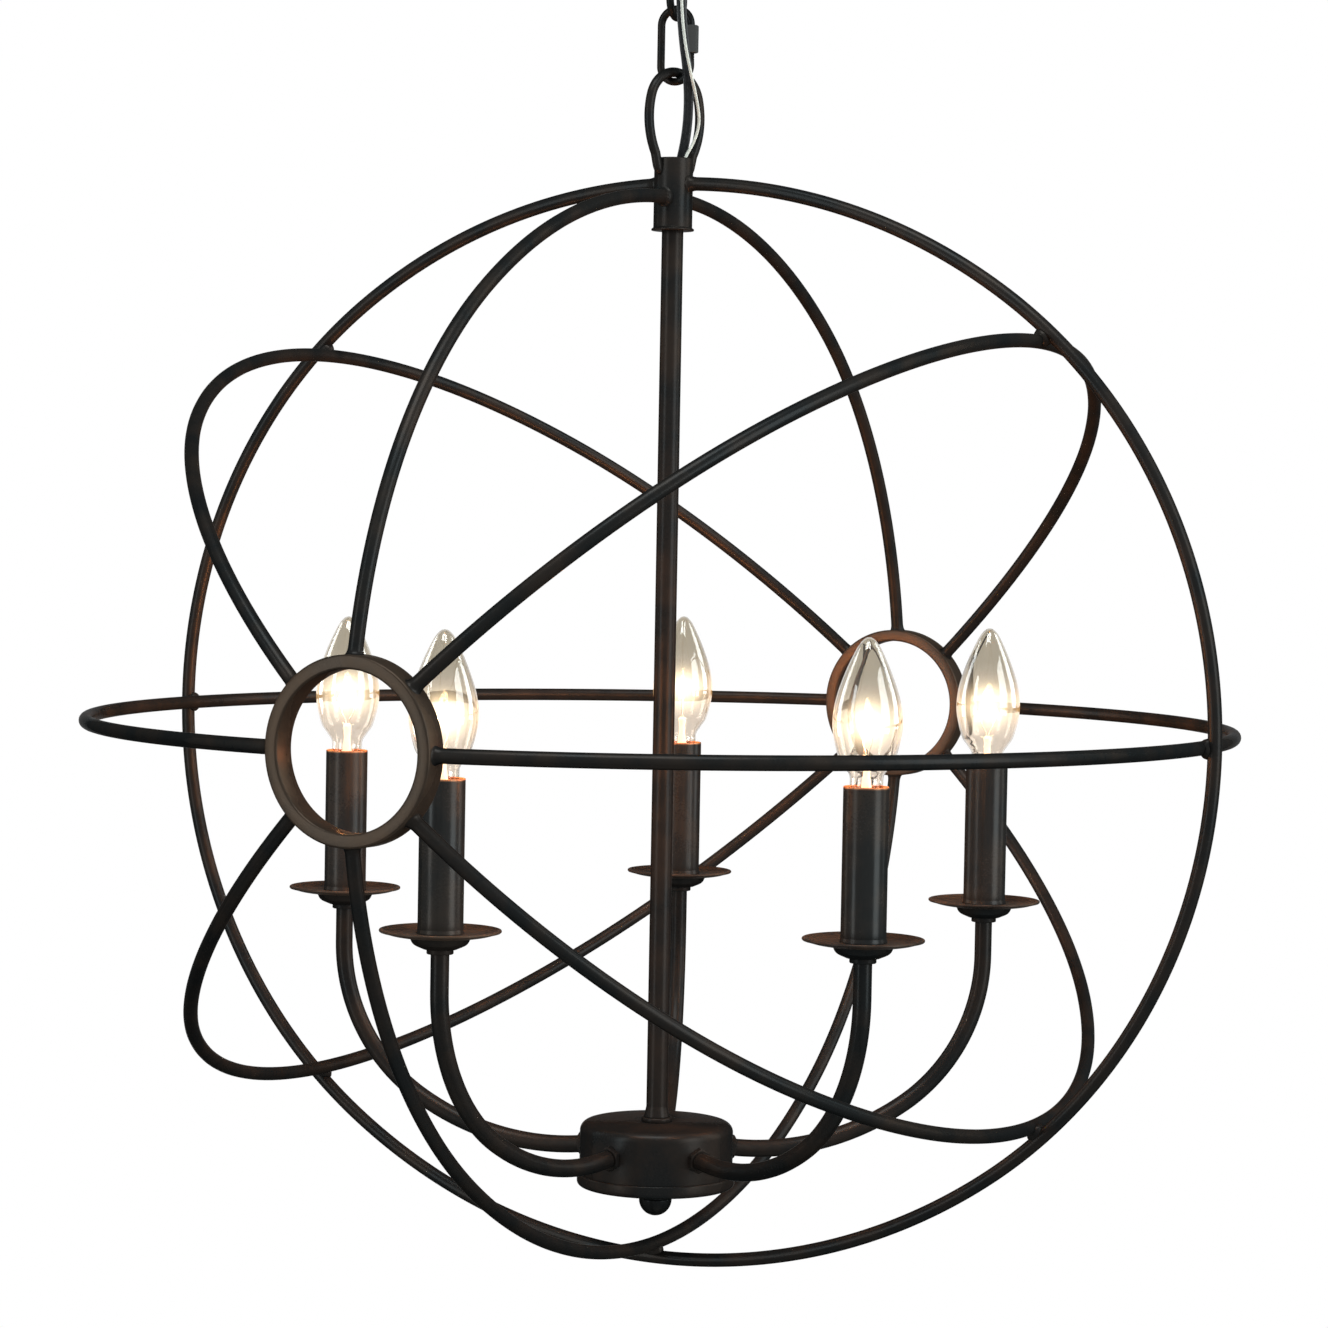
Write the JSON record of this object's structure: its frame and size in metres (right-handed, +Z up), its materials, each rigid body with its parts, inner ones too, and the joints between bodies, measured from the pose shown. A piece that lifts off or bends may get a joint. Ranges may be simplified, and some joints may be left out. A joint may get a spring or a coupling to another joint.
{
  "type": "orb chandelier",
  "caption": "Open round cage of bent metal rods with ring portholes round upright candle arms with flame-shaped bulbs, hung by a loop, quick link and chain link from a ceiling canopy.",
  "frame": {"origin": "on the ceiling's face, at the middle of the crossbar's two screw slots, over the hanging axis", "axes": "+Z up; +X in the plane of the main ring, along the crossbar; +Y runs from the front porthole to the back one"},
  "size_m": [0.6008, 0.6114, 0.729],
  "materials": {
    "bronze": "satin, dark bronze",
    "candle_bronze": "satin, dark bronze",
    "zinc": "zinc plated",
    "connector": "moulded",
    "socket": "moulded",
    "lead": "smooth",
    "cord": "smooth",
    "ground_wire": "clear jacket",
    "bulb_glass": "clear",
    "bulb_base": "satin"
  },
  "bodies": {
    "canopy_assembly": {"crossbar": "zinc", "canopy": "bronze", "canopy_nipple": "zinc", "nipple_nut": "zinc", "canopy_connectors": "connector", "collar_loop": "bronze"},
    "hanging_chain_link": {"chain_link": "bronze"},
    "hanging_quick_link": {"quick_link": "bronze"},
    "link_nut": {"quick_link_nut": "bronze"},
    "orb": {"hanging_loop": "bronze", "top_hub": "bronze", "hub_ring_nut": "zinc", "stem_tube": "bronze", "stem_collar": "bronze", "centre_rod": "zinc", "drum_cup": "bronze", "drum_tray": "bronze", "ball_finial": "bronze", "lock_nuts": "zinc", "arm_collars": "bronze", "inner_leads": "lead", "drum_connectors": "connector", "main_ring": "bronze", "meridian_rod_front": "bronze", "meridian_rod_back": "bronze", "meridian_rod_lower": "bronze", "equator_rod_right": "bronze", "equator_rod_left": "bronze", "diagonal_rod_upper_right": "bronze", "diagonal_rod_lower_left": "bronze", "diagonal_rod_upper_left": "bronze", "diagonal_rod_lower_right": "bronze", "porthole_ring_front": "bronze", "porthole_ring_back": "bronze", "weld_beads": "bronze", "husk_cups": "bronze", "drip_pans": "bronze", "lamp_sockets": "socket", "supply_cord": "cord", "ground_wire": "ground_wire", "arm_1": "bronze", "arm_2": "bronze", "arm_3": "bronze", "arm_4": "bronze", "arm_5": "bronze", "candle_sleeve_1": "candle_bronze", "candle_sleeve_2": "candle_bronze", "candle_sleeve_3": "candle_bronze", "candle_sleeve_4": "candle_bronze", "candle_sleeve_5": "candle_bronze"},
    "bulb_1": {"bulb_glass_1": "bulb_glass", "bulb_base_1": "bulb_base"},
    "bulb_2": {"bulb_glass_2": "bulb_glass", "bulb_base_2": "bulb_base"},
    "bulb_3": {"bulb_glass_3": "bulb_glass", "bulb_base_3": "bulb_base"},
    "bulb_4": {"bulb_glass_4": "bulb_glass", "bulb_base_4": "bulb_base"},
    "bulb_5": {"bulb_glass_5": "bulb_glass", "bulb_base_5": "bulb_base"}
  },
  "joints": [
    {"name": "chain_swing", "type": "hinge", "parent": "canopy_assembly", "child": "hanging_chain_link", "pos_m": [0, 0, -0.05625], "axis": [0.9962, 0.0872, 0], "range_deg": [-15, 15]},
    {"name": "quick_link_swing", "type": "hinge", "parent": "hanging_chain_link", "child": "hanging_quick_link", "pos_m": [0, 0, -0.0857], "axis": [-0.0872, 0.9962, 0], "range_deg": [-15, 15]},
    {"name": "orb_swing", "type": "hinge", "parent": "hanging_quick_link", "child": "orb", "pos_m": [0, 0, -0.1184], "axis": [0.9962, 0.0872, 0], "range_deg": [-12, 12], "deforming": ["supply_cord", "ground_wire"]},
    {"name": "link_nut_travel", "type": "slide", "parent": "hanging_quick_link", "child": "link_nut", "axis": [0, 0, -1], "range_m": [0, 0.006]},
    {"name": "bulb_1_lift", "type": "slide", "parent": "orb", "child": "bulb_1", "axis": [0, 0, 1], "range_m": [0, 0.035]},
    {"name": "bulb_2_lift", "type": "slide", "parent": "orb", "child": "bulb_2", "axis": [0, 0, 1], "range_m": [0, 0.035]},
    {"name": "bulb_3_lift", "type": "slide", "parent": "orb", "child": "bulb_3", "axis": [0, 0, 1], "range_m": [0, 0.035]},
    {"name": "bulb_4_lift", "type": "slide", "parent": "orb", "child": "bulb_4", "axis": [0, 0, 1], "range_m": [0, 0.035]},
    {"name": "bulb_5_lift", "type": "slide", "parent": "orb", "child": "bulb_5", "axis": [0, 0, 1], "range_m": [0, 0.035]}
  ]
}
